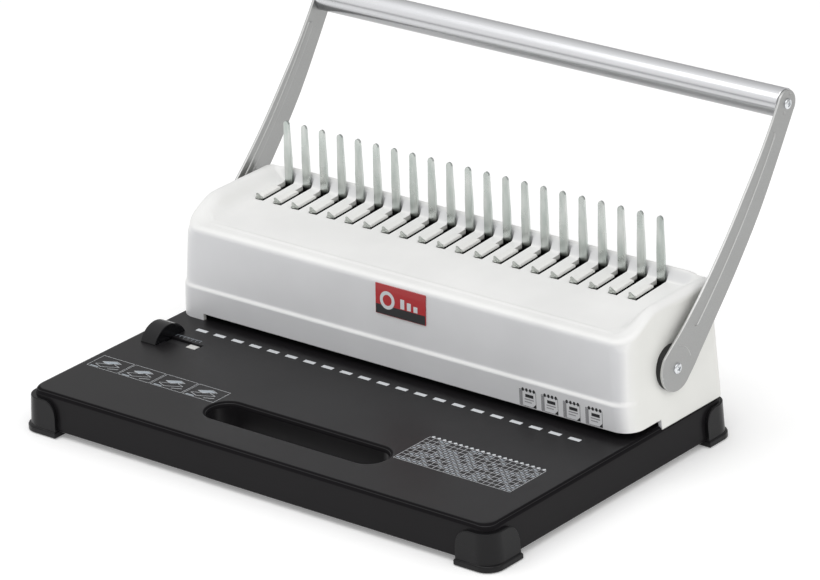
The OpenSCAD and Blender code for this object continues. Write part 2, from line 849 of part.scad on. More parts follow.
// White slide blocks that travel in the slots behind the hooks
module hook_blocks() {
    z0 = carriage_z + carriage_t + 1.2;
    y0 = hook_y + 1.2;
    y1 = hook_y + 17.5;
    color([0.93, 0.93, 0.92])
        for (k = [0 : comb_count - 1])
            translate([comb_x(k) + finger_dx, 0, 0])
                along_x(-2.6, 2.1, [[y0, z0], [y1, z0], [y1, top_at(y1) + 1.4],
                    [y1 - 1.2, top_at(y1) + 2], [y0, top_at(y0) + 2]]);
}

// Drawer that catches the punched chips, pulled out at the back
module chip_tray() {
    w = tray_w / 2;
    y0 = punch_y - 13;
    y1 = base_rear_y;
    color([0.15, 0.15, 0.16])
        union() {
            difference() {
                box([-w, y0, tray_low_z], [w, y1, tray_high_z - 1]);
                box([-w + 2, y0 + 2, tray_low_z + 2], [w - 2, y1 - 2.4, 30]);
            }
            box([-w, y1 - 2.4, tray_low_z], [w, y1, tray_high_z]);
            box([-40, y1 - 0.5, tray_high_z - 4], [40, y1 + 2.6, tray_high_z]);
        }
}

// Edge guide with a rounded top
module guide_block() {
    x0 = guide_face_x - guide_t;
    z = base_top_z + 0.05;
    color([0.08, 0.08, 0.09])
        difference() {
            union() {
                difference() {
                    rod_x(x0, guide_face_x, guide_y, base_top_z - 5.5, guide_r);
                    box([x0 - 1, guide_y - 40, -10], [guide_face_x + 1, guide_y + 40, z]);
                }
                box([x0 + 1, guide_slot[2] + 0.4, index_z],
                    [guide_face_x - 1, guide_slot[3] - 0.4, z + 0.5]);
            }
            rod_z(x0 + guide_t / 2, -46.7, 0, base_top_z + 4, 1.55);
        }
}

// Slide plate under the table
module guide_slider() {
    color([0.3, 0.3, 0.32])
        difference() {
            union() {
                box([-166, guide_slot[2] - 3.5, guide_slot_z - 2.1],
                    [guide_tip_x, guide_slot[3] + 3.5, guide_slot_z - 0.1]);
                box([-163, guide_slot[2] + 0.2, guide_slot_z - 0.2],
                    [guide_tip_x, guide_slot[3] - 0.2, index_z]);
            }
            rod_z(guide_face_x - guide_t / 2, -46.7, 0, base_top_z + 4, 1.8);
        }
}

// Pale index mark seen in the slot
module guide_index() {
    color([0.85, 0.85, 0.85])
        box([guide_tip_x - 7, guide_slot[2] + 0.4, index_z],
            [guide_tip_x, guide_slot[3] - 0.6, index_z + 0.4]);
}

// Screw that joins guide and slide plate
module guide_screw() {
    x = guide_face_x - guide_t / 2;
    color([0.6, 0.6, 0.62])
        union() {
            rod_z(x, -46.7, guide_slot_z - 3.9, guide_slot_z - 2.1, 2.8);
            rod_z(x, -46.7, guide_slot_z - 2.1, base_top_z + 3.5, 1.5);
        }
}

base_tray();
bottom_plate();
foot_front_left();
foot_front_right();
foot_rear_left();
foot_rear_right();
foot_pads();
bottom_screws();
cover();
badge();
collar_left();
collar_right();
frame_left();
frame_right();
frame_screws();
deck();
lower_die();
paper_stop();
upper_guide();
finger_rack();
rack_screws();
spring_left();
spring_right();
shaft();
punch_cams();
yoke_cams();
arm_left();
arm_right();
handle_bar();
bar_plugs();
handle_screws();
punch_bar();
punch_pins();
carriage();
hooks();
hook_blocks();
chip_tray();
guide_block();
guide_slider();
guide_index();
guide_screw();
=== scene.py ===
import bmesh
import bpy
import math
import random
from mathutils import Matrix, Vector


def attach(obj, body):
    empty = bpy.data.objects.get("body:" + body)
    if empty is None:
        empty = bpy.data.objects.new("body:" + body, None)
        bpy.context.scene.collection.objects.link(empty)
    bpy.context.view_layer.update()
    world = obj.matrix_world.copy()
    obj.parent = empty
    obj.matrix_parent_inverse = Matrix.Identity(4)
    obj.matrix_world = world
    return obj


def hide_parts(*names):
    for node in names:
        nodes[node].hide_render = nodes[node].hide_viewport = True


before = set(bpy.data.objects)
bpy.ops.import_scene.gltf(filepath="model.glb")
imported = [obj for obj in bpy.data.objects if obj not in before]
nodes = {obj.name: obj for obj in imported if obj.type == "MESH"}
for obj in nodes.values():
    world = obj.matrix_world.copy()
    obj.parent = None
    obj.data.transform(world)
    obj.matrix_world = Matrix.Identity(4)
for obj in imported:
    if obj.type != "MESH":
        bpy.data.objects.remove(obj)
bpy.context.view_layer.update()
scene = bpy.context.scene

# Sizes are in mm; MM turns them into the scene's metres
MM = 0.001
PITCH = 14.2875
MARKS = [(k - 10) * PITCH for k in range(21)]
FINGERS = [x - 7.5 for x in MARKS]
BASE_HALF, BASE_FRONT, BASE_REAR = 174.5, -143.4, 71.4
BASE_FOOT, BASE_TOP, BASE_FLARE = 4.0, 27.0, 1.8
COVER_HALF, COVER_FRONT, COVER_REAR, COVER_WALL = 174.2, -14.3, 74.0, 2.4
THROAT_END = 13.7
PIVOT, BAR = (26.5, 59.2), (138.4, 183.3)
PIVOT_R, BAR_END_R = 14.0, 8.2
ARM_IN, ARM_OUT = 175.2, 176.9


# ---------------------------------------------------------------- camera
CAMERA_TURN, CAMERA_LIFT, CAMERA_ROLL = 41.336, 23.017, -3.583
CAMERA_PLACE_M = (1.8304, -2.0720, 1.2486)


def make_camera():
    """Long lens from the front right, slightly rolled."""
    a, e, roll = (math.radians(v) for v in (CAMERA_TURN, CAMERA_LIFT, CAMERA_ROLL))
    fwd = Vector((-math.sin(a) * math.cos(e), math.cos(a) * math.cos(e), -math.sin(e)))
    right = Vector((math.cos(a), math.sin(a), 0))
    up = right.cross(fwd)
    c, s = math.cos(roll), math.sin(roll)
    r2, u2 = c * right + s * up, -s * right + c * up
    cam = bpy.data.objects.new("camera", bpy.data.cameras.new("camera"))
    scene.collection.objects.link(cam)
    turned = Matrix((r2, u2, -fwd)).transposed().to_4x4()
    cam.matrix_world = Matrix.Translation(CAMERA_PLACE_M) @ turned
    cam.data.sensor_width = 36
    cam.data.lens = 225.66
    cam.data.shift_x = -0.0096
    cam.data.shift_y = 0.0043
    cam.data.dof.use_dof = False
    cam.data.clip_end = 50
    scene.camera = cam


make_camera()


# ---------------------------------------------------------------- mesh tools
def new_object(name, mesh):
    o = bpy.data.objects.new(name, mesh)
    scene.collection.objects.link(o)
    return o


def face_outwards(me):
    """Turn the faces of a closed mesh outwards."""
    bm = bmesh.new()
    bm.from_mesh(me)
    bmesh.ops.recalc_face_normals(bm, faces=bm.faces)
    bm.to_mesh(me)
    bm.free()


def mesh_object(name, verts, faces):
    """Object from points in mm."""
    me = bpy.data.meshes.new(name)
    me.from_pydata([(v[0] * MM, v[1] * MM, v[2] * MM) for v in verts], [], faces)
    me.validate()
    return new_object(name, me)


def apply_modifiers(o):
    dg = bpy.context.evaluated_depsgraph_get()
    me = bpy.data.meshes.new_from_object(o.evaluated_get(dg))
    old = o.data
    o.modifiers.clear()
    o.data = me
    bpy.data.meshes.remove(old)


def cut(o, cutter, operation="DIFFERENCE"):
    """Exact boolean; the cutter is used up."""
    m = o.modifiers.new("cut", "BOOLEAN")
    m.object = cutter
    m.operation = operation
    m.solver = "EXACT"
    apply_modifiers(o)
    bpy.data.objects.remove(cutter)


def mirror_x(o):
    o.data.transform(Matrix.Scale(-1, 4, (1, 0, 0)))
    o.data.flip_normals()


def finish_piece(o, body, mat, replaces=(), angle=32):
    """Shade the piece, give it its material and put it on its body."""
    o.data.shade_smooth()
    o.data.set_sharp_from_angle(angle=math.radians(angle))
    m = o.modifiers.new("normals", "WEIGHTED_NORMAL")
    m.keep_sharp = True
    o.data.materials.clear()
    o.data.materials.append(mat)
    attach(o, body)
    if replaces:
        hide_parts(*replaces)
    return o


def loft(name, rings, close_start=True):
    """Skin over rings with equal point counts; the last ring is always capped."""
    n = len(rings[0])
    verts = [p for ring in rings for p in ring]
    faces = []
    for i in range(len(rings) - 1):
        for j in range(n):
            k = (j + 1) % n
            faces.append((i * n + j, i * n + k, (i + 1) * n + k, (i + 1) * n + j))
    if close_start:
        faces.append(tuple(reversed(range(n))))
    faces.append(tuple(range((len(rings) - 1) * n, len(rings) * n)))
    o = mesh_object(name, verts, faces)
    if close_start:
        face_outwards(o.data)
    return o


def boxes(name, items):
    """One mesh of boxes, each given by two corners."""
    verts, faces = [], []
    for (x0, y0, z0), (x1, y1, z1) in items:
        b = len(verts)
        verts += [(x, y, z) for z in (z0, z1) for x, y in ((x0, y0), (x1, y0), (x1, y1), (x0, y1))]
        faces += [tuple(b + i for i in f) for f in
                  ((3, 2, 1, 0), (4, 5, 6, 7), (0, 1, 5, 4), (1, 2, 6, 5), (2, 3, 7, 6), (3, 0, 4, 7))]
    return mesh_object(name, verts, faces)


def join(objs, name):
    """One object from several; the originals are removed."""
    verts, faces = [], []
    for o in objs:
        b = len(verts)
        verts += [tuple(v.co) for v in o.data.vertices]
        faces += [tuple(b + i for i in p.vertices) for p in o.data.polygons]
    me = bpy.data.meshes.new(name)
    me.from_pydata(verts, [], faces)
    for o in objs:
        bpy.data.objects.remove(o)
    return new_object(name, me)


def lathe_x(name, cy, cz, profile, n=64):
    """Turned solid about an axis along x; profile is a list of (x, r), closed where r is 0."""
    verts, faces, rings = [], [], []
    for x, r in profile:
        if r <= 0:
            rings.append([len(verts)])
            verts.append((x, cy, cz))
        else:
            rings.append(list(range(len(verts), len(verts) + n)))
            verts += [(x, cy + r * math.cos(2 * math.pi * j / n), cz + r * math.sin(2 * math.pi * j / n))
                      for j in range(n)]
    for a, b in zip(rings, rings[1:]):
        for j in range(n):
            k = (j + 1) % n
            if len(a) == 1:
                faces.append((a[0], b[j], b[k]))
            elif len(b) == 1:
                faces.append((a[j], b[0], a[k]))
            else:
                faces.append((a[j], b[j], b[k], a[k]))
    o = mesh_object(name, verts, faces)
    face_outwards(o.data)
    return o


def quarter(steps):
    """Angles from 0 to a right angle."""
    return [math.pi / 2 * i / steps for i in range(steps + 1)]


def arc(cx, cy, r, a0, a1, n):
    """Points on an arc between two angles in degrees, ends included."""
    return [(cx + r * math.cos(math.radians(a0 + (a1 - a0) * i / n)),
             cy + r * math.sin(math.radians(a0 + (a1 - a0) * i / n))) for i in range(n + 1)]


def plan(w, f, b, rf, rb, nf=40, ns=14, nb=96, nc=10):
    """Rounded rectangle, counterclockwise from the front left: half width w, front f, back b."""
    pts = [(-w + rf + (2 * w - 2 * rf) * i / nf, f) for i in range(nf)]
    pts += arc(w - rf, f + rf, rf, -90, 0, nc)[:-1]
    pts += [(w, f + rf + (b - f - rf - rb) * i / ns) for i in range(ns)]
    pts += arc(w - rb, b - rb, rb, 0, 90, nc)[:-1]
    pts += [(w - rb - (2 * w - 2 * rb) * i / nb, b) for i in range(nb)]
    pts += arc(-w + rb, b - rb, rb, 90, 180, nc)[:-1]
    pts += [(-w, b - rb - (b - f - rf - rb) * i / ns) for i in range(ns)]
    pts += arc(-w + rf, f + rf, rf, 180, 270, nc)[:-1]
    return pts


def smooth(t):
    """0 below 0, 1 above 1, an S-curve between."""
    t = max(0.0, min(1.0, t))
    return t * t * (3 - 2 * t)


# ---------------------------------------------------------------- materials
def material(name, base, rough, metallic=0.0, coat=0.0, specular=0.5):
    m = bpy.data.materials.new(name)
    m.use_nodes = True
    nt = m.node_tree
    b = nt.nodes["Principled BSDF"]
    b.inputs["Base Color"].default_value = (*base, 1)
    b.inputs["Roughness"].default_value = rough
    b.inputs["Metallic"].default_value = metallic
    b.inputs["Coat Weight"].default_value = coat
    b.inputs["Specular IOR Level"].default_value = specular
    return m, nt, b


def add_noise(nt, scale, detail=3.0, stretch=(1, 1, 1)):
    tc = nt.nodes.new("ShaderNodeTexCoord")
    mp = nt.nodes.new("ShaderNodeMapping")
    mp.inputs["Scale"].default_value = stretch
    ns = nt.nodes.new("ShaderNodeTexNoise")
    ns.inputs["Scale"].default_value = scale
    ns.inputs["Detail"].default_value = detail
    nt.links.new(tc.outputs["Object"], mp.inputs["Vector"])
    nt.links.new(mp.outputs["Vector"], ns.inputs["Vector"])
    return ns.outputs["Fac"]


def ramp(nt, fac, stops):
    r = nt.nodes.new("ShaderNodeValToRGB")
    r.color_ramp.elements[0].position = stops[0][0]
    r.color_ramp.elements[0].color = stops[0][1]
    r.color_ramp.elements[1].position = stops[-1][0]
    r.color_ramp.elements[1].color = stops[-1][1]
    for pos, col in stops[1:-1]:
        e = r.color_ramp.elements.new(pos)
        e.color = col
    nt.links.new(fac, r.inputs["Fac"])
    return r.outputs["Color"]


def remap(nt, fac, a, b, low=0.0, high=1.0):
    """low at a, high at b, a straight line between, held beyond."""
    r = nt.nodes.new("ShaderNodeMapRange")
    r.inputs["From Min"].default_value = a
    r.inputs["From Max"].default_value = b
    r.inputs["To Min"].default_value = low
    r.inputs["To Max"].default_value = high
    nt.links.new(fac, r.inputs["Value"])
    return r.outputs["Result"]


def grey(v, tint=(1, 1, 1)):
    return (v * tint[0], v * tint[1], v * tint[2], 1)


def bump(nt, bsdf, height, strength, distance, edge=0.0):
    """Surface grain, over edges rounded to the radius edge."""
    b = nt.nodes.new("ShaderNodeBump")
    b.inputs["Strength"].default_value = strength
    b.inputs["Distance"].default_value = distance
    nt.links.new(height, b.inputs["Height"])
    if edge:
        v = nt.nodes.new("ShaderNodeBevel")
        v.samples = 4
        v.inputs["Radius"].default_value = edge
        nt.links.new(v.outputs["Normal"], b.inputs["Normal"])
    nt.links.new(b.outputs["Normal"], bsdf.inputs["Normal"])


def plastic(name, base, rough, vary=0.05, grain=1600, grain_strength=0.12, coat=0.0, specular=0.5,
            edge=0.0):
    """Moulded plastic: fine grain, and broad soft changes of tone and gloss."""
    m, nt, b = material(name, base, rough, coat=coat, specular=specular)
    broad = add_noise(nt, 14, 4)
    fine = add_noise(nt, grain, 2)
    tone = ramp(nt, broad, [(0.35, grey(0.955, base)), (0.65, grey(1.03, base))])
    nt.links.new(tone, b.inputs["Base Color"])
    nt.links.new(remap(nt, broad, 0.3, 0.7, rough - vary, rough + vary), b.inputs["Roughness"])
    bump(nt, b, fine, grain_strength, 0.00004, edge)
    return m


def metal(name, base, rough, stretch=(1, 1, 1), scale=400, vary=0.08, contrast=0.12, tint=(1, 1, 1),
          strength=0.15, edge=0.0, metallic=1.0):
    """Metal with brushed or cloudy streaks; stretch sets their direction."""
    m, nt, b = material(name, base, rough, metallic=metallic)
    streak = add_noise(nt, scale, 4, stretch)
    broad = add_noise(nt, 60, 3)
    lo = [c * (1 - contrast) * t for c, t in zip(base, tint)]
    hi = [min(1, c * (1 + contrast)) for c in base]
    nt.links.new(ramp(nt, streak, [(0.3, (*lo, 1)), (0.7, (*hi, 1))]), b.inputs["Base Color"])
    nt.links.new(remap(nt, broad, 0.3, 0.7, rough - vary, rough + vary), b.inputs["Roughness"])
    bump(nt, b, streak, strength, 0.00005, edge)
    return m


def split(nt, node_type, output):
    """X, Y and Z of a vector that a node gives out."""
    source = nt.nodes.new(node_type)
    sep = nt.nodes.new("ShaderNodeSeparateXYZ")
    nt.links.new(source.outputs[output], sep.inputs["Vector"])
    return sep.outputs


def facing(mat):
    """Parts of the direction that the surface faces."""
    return split(mat.node_tree, "ShaderNodeNewGeometry", "Normal")


def position(mat):
    """Parts of the position in the piece, in metres."""
    return split(mat.node_tree, "ShaderNodeTexCoord", "Object")


def math_node(nt, operation, *sockets):
    m = nt.nodes.new("ShaderNodeMath")
    m.operation = operation
    for i, socket in enumerate(sockets):
        nt.links.new(socket, m.inputs[i])
    return m.outputs["Value"]


def multiply(nt, a, b):
    """Product of two colours."""
    mix = nt.nodes.new("ShaderNodeMix")
    mix.data_type = "RGBA"
    mix.blend_type = "MULTIPLY"
    mix.inputs["Factor"].default_value = 1
    nt.links.new(a, mix.inputs["A"])
    nt.links.new(b, mix.inputs["B"])
    return mix.outputs["Result"]


def multiply_base(mat, factor):
    """Multiply a material's base colour by a socket."""
    nt = mat.node_tree
    base = nt.nodes["Principled BSDF"].inputs["Base Color"]
    nt.links.new(multiply(nt, base.links[0].from_socket, factor), base)


def rim_polish(mat, low, high):
    """Specular level high on level and upright faces, low on rounded rims but for one thin line."""
    nt = mat.node_tree
    level = ramp(nt, facing(mat)["Z"], [
        (0.0, grey(high)), (0.12, grey(low)), (0.64, grey(low)), (0.7, grey(0.4)), (0.75, grey(low)),
        (0.95, grey(low)), (0.99, grey(high))])
    nt.links.new(level, nt.nodes["Principled BSDF"].inputs["Specular IOR Level"])


def painted_shade_below(mat, z0, z1, level):
    """Painted shade: base colour times level below height z0, unchanged above z1."""
    multiply_base(mat, remap(mat.node_tree, position(mat)["Z"], z0 * MM, z1 * MM, level, 1))


def painted_shade_underside(mat):
    """Painted shade: base colour full on top and darker towards the underside."""
    nt = mat.node_tree
    height = remap(nt, facing(mat)["Z"], -1, 1)
    multiply_base(mat, ramp(nt, height, [
        (0.0, grey(0.36)), (0.2, grey(0.42)), (0.4, grey(0.58)), (0.5, grey(0.76)), (0.64, grey(0.8)),
        (0.67, grey(1.0))]))


def painted_edge_highlight(mat, gain):
    """Painted highlight: base colour times gain where the surface turns away from the side."""
    nt = mat.node_tree
    side = math_node(nt, "ABSOLUTE", facing(mat)["X"])
    multiply_base(mat, remap(nt, side, 0.97, 0.8, 1, gain))


def painted_face_shade(mat, front, side):
    """Painted shade: multiply the base colour by front or side on the faces that point forwards or sideways.
    """
    nt = mat.node_tree
    axes = facing(mat)
    across = math_node(nt, "ABSOLUTE", axes["X"])
    for socket, a, b, colour in ((axes["Y"], -0.7, -0.98, front), (across, 0.7, 0.98, side)):
        tone = nt.nodes.new("ShaderNodeMix")
        tone.data_type = "RGBA"
        tone.inputs["A"].default_value = (1, 1, 1, 1)
        tone.inputs["B"].default_value = (*colour, 1)
        nt.links.new(remap(nt, socket, a, b), tone.inputs["Factor"])
        multiply_base(mat, tone.outputs["Result"])


def painted_slot_shade(mat, x_limit, y0, y1, z0, z1, level):
    """Painted shade: base colour times level within x_limit of the middle, from y0 to y1 and below z0, fading
    up to z1.
    """
    nt = mat.node_tree
    axes = position(mat)
    across = math_node(nt, "ABSOLUTE", axes["X"])
    inside = remap(nt, axes["Z"], z1 * MM, z0 * MM)
    for socket, a, b in ((across, x_limit + 1, x_limit), (axes["Y"], y0, y0 + 0.4),
                         (axes["Y"], y1 + 0.4, y1)):
        inside = math_node(nt, "MULTIPLY", inside, remap(nt, socket, a * MM, b * MM))
    multiply_base(mat, remap(nt, inside, 0, 1, 1, level))


M_BASE = plastic("base_black", (0.0105, 0.0098, 0.0108), 0.33, vary=0.04, grain=2200, grain_strength=0.1)
M_FOOT = plastic("foot_black", (0.007, 0.0068, 0.0075), 0.27, vary=0.04, grain=1500, grain_strength=0.06,
                 specular=0.22, edge=0.0003)
M_COVER = plastic("cover_white", (0.84, 0.84, 0.83), 0.36, vary=0.04, grain=2400, grain_strength=0.07)
M_BLOCK = plastic("block_white", (0.82, 0.82, 0.8), 0.4, grain=2400, edge=0.0004)
M_DARK = plastic("dark_plastic", (0.02, 0.02, 0.021), 0.5, grain=1200, grain_strength=0.25)
# Painted shade: the stems under the white block caps are made near black to stand in for the shade below the
# cover's top.
M_STEM_SHADE = plastic("stem_painted_shade", (0.004, 0.004, 0.004), 0.7, grain=1200, specular=0.1)
M_COLLAR = plastic("collar_black", (0.006, 0.006, 0.006), 0.5, edge=0.0004)
M_GUIDE = plastic("guide_black", (0.006, 0.006, 0.007), 0.16, vary=0.03, grain=900, grain_strength=0.04,
                  specular=0.3, edge=0.0009)
M_INDEX = plastic("index_pale", (0.62, 0.62, 0.6), 0.45, edge=0.0002)
M_RUBBER = plastic("pad_rubber", (0.02, 0.02, 0.02), 0.8, grain=700, grain_strength=0.4)
M_PRINT = plastic("print_white", (0.62, 0.64, 0.66), 0.5)
M_PRINT_GREY = plastic("print_grey", (0.36, 0.4, 0.44), 0.5)
M_INK = plastic("print_black", (0.02, 0.02, 0.022), 0.5)
M_INK_GREY = plastic("print_mid", (0.28, 0.28, 0.29), 0.5)
M_RED = plastic("badge_red", (0.42, 0.018, 0.022), 0.3, coat=0.2)

M_STEEL = metal("plain_steel", (0.5, 0.51, 0.52), 0.38, stretch=(0.05, 1, 1), scale=900, edge=0.0003)
M_TOOL = metal("tool_steel", (0.25, 0.25, 0.26), 0.4, stretch=(1, 1, 0.1), scale=900, edge=0.0003)
# Painted shade: plain steel made near black, standing in for the shade seen through the slots.
M_SHADE_STEEL = metal("steel_painted_shade", (0.03, 0.03, 0.032), 0.5, scale=600, edge=0.0003)
M_SCREW = metal("screw_plated", (0.72, 0.74, 0.76), 0.2, scale=700, contrast=0.1, edge=0.0002)
M_ZINC = metal("zinc_steel", (0.59, 0.61, 0.59), 0.3, stretch=(1, 1, 0.25), scale=240, vary=0.07,
               contrast=0.13, tint=(0.94, 1.0, 0.98), strength=0.1, edge=0.00025)
M_HOOK = metal("hook_steel", (0.56, 0.58, 0.55), 0.3, scale=500, contrast=0.2, edge=0.0002)
M_BAR = metal("bar_aluminium", (0.8, 0.805, 0.825), 0.24, stretch=(0.02, 1, 1), scale=500, vary=0.012,
              contrast=0.02, strength=0.02)
M_ARM = metal("arm_silver", (0.36, 0.362, 0.358), 0.36, scale=3000, vary=0.03, contrast=0.08,
              strength=0.08, metallic=0.85, edge=0.0003)

rim_polish(M_BASE, 0.01, 0.26)
# Painted shade: the cover's front and side faces are darkened in colour to stand in for less light falling on
# them.
painted_face_shade(M_COVER, (0.83, 0.835, 0.86), (0.925, 0.925, 0.9))
# Painted shade on the walls of the slots, just below the cover's top.
painted_slot_shade(M_COVER, 155, 38.6, 70.2, 86.4, 87.4, 0.06)
# Painted shade: the finger rack goes dark below the cover's top, standing in for the shade inside the slots.
painted_shade_below(M_ZINC, 88.5, 91.2, 0.06)
# Painted shade on the lower half of the handle bar.
painted_shade_underside(M_BAR)
# Painted highlight on the rounded edges of the arms.
painted_edge_highlight(M_ARM, 1.55)

for mat, names in (
        (M_BASE, ["base_tray"]),
        (M_FOOT, ["foot_front_left", "foot_front_right", "foot_rear_left", "foot_rear_right"]),
        (M_COVER, ["cover"]),
        (M_BLOCK, ["hook_blocks"]),
        (M_DARK, ["bottom_plate", "bar_plugs", "chip_tray", "guide_slider"]),
        (M_COLLAR, ["collar_left", "collar_right"]),
        (M_GUIDE, ["guide_block"]),
        (M_INDEX, ["guide_index"]),
        (M_RUBBER, ["foot_pads"]),
        (M_RED, ["badge"]),
        (M_STEEL, ["frame_left", "frame_right", "paper_stop", "spring_left", "spring_right", "shaft"]),
        (M_TOOL, ["lower_die", "punch_cams", "yoke_cams", "punch_pins"]),
        # These plain steel parts get the painted shade material.
        (M_SHADE_STEEL, ["deck", "upper_guide", "punch_bar", "carriage"]),
        (M_SCREW, ["bottom_screws", "frame_screws", "rack_screws", "handle_screws", "guide_screw"]),
        (M_ZINC, ["finger_rack"]),
        (M_HOOK, ["hooks"]),
        (M_BAR, ["handle_bar"]),
        (M_ARM, ["arm_left", "arm_right"])):
    for name in names:
        mesh = nodes[name].data
        mesh.materials.clear()
        mesh.materials.append(mat)
        mesh.shade_smooth()
        mesh.set_sharp_from_angle(angle=math.radians(28))


# ---------------------------------------------------------------- cover
STEP_Z, BODY_Z, STEP_IN, LEAN = 46.8, 48.8, 1.6, 0.07
CREASE_Z, CREASE_Y, SLOPE = 85.2, -10.2, 0.0565
LIP_Z, LIP_FOOT_Y = 97.4, 66.4
SHOULDER_X = 152
PANEL_HALF, PANEL_FRONT, PANEL_R = 172, -12, 28
EDGE_R, EDGE_SIDE, LIP_EDGE_R, LIP_EDGE_IN = 4.4, 4.8, 2.0, 1.9
TOP_STEPS = (0.4, 0.8, 1.2, 1.6, 2.0, 2.4, 2.8, 3.2, 3.8, 4.4, 5, 5.6, 6.2, 7, 7.8, 8.6, 9.4, 10.5, 12, 14,
             17, 21, 26, 32, 36.5)


def top_plane(y):
    return CREASE_Z + SLOPE * (y - CREASE_Y)


def top_height(x, y):
    """Top surface with the side shoulders, the rear lip and the shallow panel border."""
    side = smooth((abs(x) - SHOULDER_X) / 13) * smooth((y + 9) / 30)
    back = smooth((y - LIP_FOOT_Y) / 5.9)
    z = top_plane(y)
    z += (LIP_Z - z) * (1 - (1 - side) * (1 - back))
    centre_x, centre_y = PANEL_HALF - PANEL_R, PANEL_FRONT + PANEL_R
    d = min(y - PANEL_FRONT, PANEL_HALF - abs(x))
    if abs(x) > centre_x and y < centre_y:
        d = PANEL_R - math.hypot(abs(x) - centre_x, centre_y - y)
    border = smooth((d - 9.6) / 1.3) - smooth((d - 11.6) / 1.6)
    return z + 0.3 * border * (1 - smooth((y - 4) / 20))


def step_at(z):
    """How far the front face has stepped back at height z."""
    return STEP_IN * smooth((z - STEP_Z) / (BODY_Z - STEP_Z))


def cover_insets(z):
    """Insets of front, side and rear at height z, then the front and rear corner radii."""
    lean = LEAN * max(0.0, z - BODY_Z)
    side = 0.066 * max(0.0, z - BASE_TOP)
    return [step_at(z) + lean, side, 0.0, 12.0 + 2.4 * smooth((z - STEP_Z) / 3.4), 7.0]


def cover_ring(inset, thin=0.0):
    """Plan outline; thin moves it inwards for the inner wall."""
    front, side, rear, front_r, rear_r = inset
    return plan(COVER_HALF - side - thin, COVER_FRONT + front + thin, COVER_REAR - rear - thin,
                max(1.5, front_r - thin), max(1.5, rear_r - thin))


def fade_step(ring, z):
    """The step in the front face dies out round the front corners."""
    out = []
    for x, y in ring:
        gone = smooth((abs(x) - 160) / 9) * (1 - smooth((y + 2) / 10))
        out.append((x, y - step_at(z) * gone * (1 if y < -2 else 0.3), z))
    return out


def lip_share(x, y):
    """1 along the rear lip, 0 elsewhere and on the shoulders."""
    return (1 - smooth((abs(x) - SHOULDER_X - 2) / 10)) * smooth((y - 60) / 10)


def edge_rings(front, side, rear, front_r, rear_r):
    """Rounded top edge, which is tighter along the rear lip."""
    outer = cover_ring([front, side, rear, front_r, rear_r])
    wide = cover_ring([front + EDGE_R, side + EDGE_SIDE, rear + EDGE_R, front_r - 2.5, rear_r - 2.5])
    tight = cover_ring([front + EDGE_R, side + EDGE_SIDE, rear + LIP_EDGE_IN, front_r - 2.5, rear_r - 1])
    rings = []
    for t in quarter(8):
        ring = []
        for (x0, y0), (x1, y1), (x2, y2) in zip(outer, wide, tight):
            k = lip_share(x0, y0)
            end_x, end_y = x1 + (x2 - x1) * k, y1 + (y2 - y1) * k
            r = EDGE_R + (LIP_EDGE_R - EDGE_R) * k
            s = 1 - math.cos(t)
            ring.append((x0 + (end_x - x0) * s, y0 + (end_y - y0) * s,
                         top_height(end_x, end_y) - r * (1 - math.sin(t))))
        rings.append(ring)
    return rings


def top_rings(edge, front, side, rear, front_r, rear_r):
    """Rings that close in over the top surface from its edge."""
    rings = []
    for d in TOP_STEPS:
        goal = plan(COVER_HALF - side - EDGE_SIDE - d, COVER_FRONT + front + EDGE_R + d,
                    COVER_REAR - rear - 3.2 - d, max(1.5, front_r - 2.5 - d), max(1.5, rear_r - 2.5 - d))
        ring = []
        for (x0, y0, _), (x, y) in zip(edge, goal):
            y += lip_share(x0, y0) * 1.3 * (1 - min(1, d / 3.0))
            ring.append((x, y, top_height(x, y)))
        rings.append(ring)
    return rings


def inner_rings():
    rings = [[(x, y, z) for x, y in cover_ring(cover_insets(z), COVER_WALL)] for z in (25, 46, 50, 66, 80)]
    rim = cover_ring(cover_insets(83), COVER_WALL + 0.8)
    rings.append([(x, y, min(top_plane(y), top_plane(60)) - 2.6) for x, y in rim])
    rings.append([(x, y, top_plane(y) - 2.6) for x, y in plan(130, 28, 34, 1.5, 1.5)])
    return rings


def cover_shell():
    """Outer and inner skin, joined round the lower rim."""
    rings = []
    for z in (25, 31, 38, 44, 46.2, 46.8, 47.5, 48.2, 48.9, 49.6, 50.2, 54, 60, 66, 72, 78, 80.0):
        rings.append(fade_step(cover_ring(cover_insets(z)), z))
    top = cover_insets(CREASE_Z - 4)
    rings += edge_rings(*top)
    rings += top_rings(rings[-1], *top)
    outer = loft("cover_outer", rings, close_start=False)
    inner = loft("cover_inner", inner_rings(), close_start=False)
    inner.data.flip_normals()
    both = join([outer, inner], "cover_body")
    n = len(rings[0])
    start = len(rings) * n
    verts = [tuple(v.co) for v in both.data.vertices]
    faces = [tuple(p.vertices) for p in both.data.polygons]
    faces += [((j + 1) % n, j, start + j, start + (j + 1) % n) for j in range(n)]
    closed = bpy.data.meshes.new("cover_body")
    closed.from_pydata(verts, [], faces)
    both.data = closed
    return both


def build_cover():
    o = cover_shell()
    cut(o, boxes("slots", [((x - 2.5, 38.8, 60), (x + 4.05, 66.6, 120)) for x in FINGERS]))
    cut(o, boxes("slot_backs", [((x - 3.05, 66.4, 60), (x + 4.1, 69.9, 120)) for x in FINGERS]))
    cut(o, boxes("throat", [((-152.8, -60, 0), (400, THROAT_END, 31.3))]))
    cut(o, boxes("leg", [((-400, -60, 0), (-150, THROAT_END, BASE_TOP))]))
    hole_r = 13.5
    cut(o, lathe_x("pivot_hole", *PIVOT, [(-300, 0), (-300, hole_r), (300, hole_r), (300, 0)], 96))
    return finish_piece(o, "base", M_COVER, ["cover"], angle=38)


build_cover()


# ---------------------------------------------------------------- base
GRIP_X, GRIP_Y, GRIP_LEN, GRIP_WIDTH = 2, -105.8, 132, 22
GRIP_EDGE, RIM_R = 6.4, 3.0


